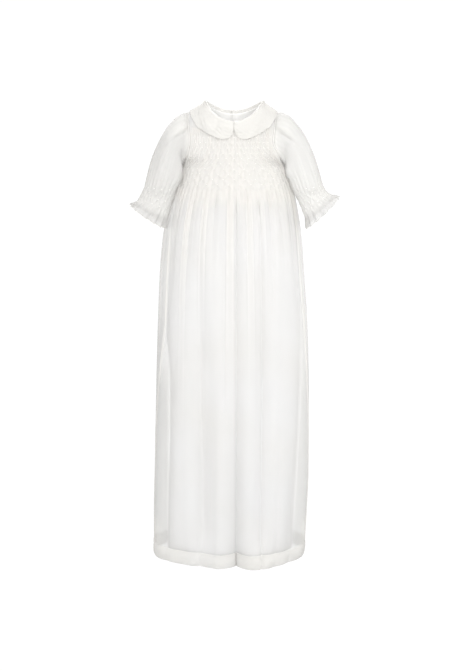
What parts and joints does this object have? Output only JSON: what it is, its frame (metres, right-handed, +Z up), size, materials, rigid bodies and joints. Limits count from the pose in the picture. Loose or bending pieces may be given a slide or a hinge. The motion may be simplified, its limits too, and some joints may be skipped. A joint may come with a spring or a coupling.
{
  "type": "christening gown",
  "caption": "Baby's long christening gown in sheer ivory organza over a lining, with a round collar, smocked chest, puffed sleeves with smocked wrists and frills, and a deep hem.",
  "frame": {"origin": "between the shoulders, on the middle plane, at the height of the neck points, where the wearer's shoulders hold the gown up", "axes": "+Z up from the hem to the neck, -Y towards the gown's front, +X towards the sleeve on the right of someone who faces the front"},
  "size_m": [0.348, 0.1803, 0.7939],
  "materials": {
    "organza": "crisp sheer ivory silk organza, single over the skirt and sleeves, doubled at the hem and collar",
    "lining": "soft opaque ivory cotton lawn",
    "pearl": "small round pearl-white buttons, satin"
  },
  "bodies": {
    "root": {"front": "organza", "back_left": "organza", "back_right": "organza", "hem_front": "organza", "hem_back_left": "organza", "hem_back_right": "organza", "lining_front": "lining", "lining_back_left": "lining", "lining_back_right": "lining", "sleeve_left": "organza", "sleeve_right": "organza", "collar_left": "organza", "collar_right": "organza", "neck_binding": "organza", "back_placket": "organza", "button_1": "pearl", "button_2": "pearl", "button_3": "pearl"}
  },
  "joints": []
}
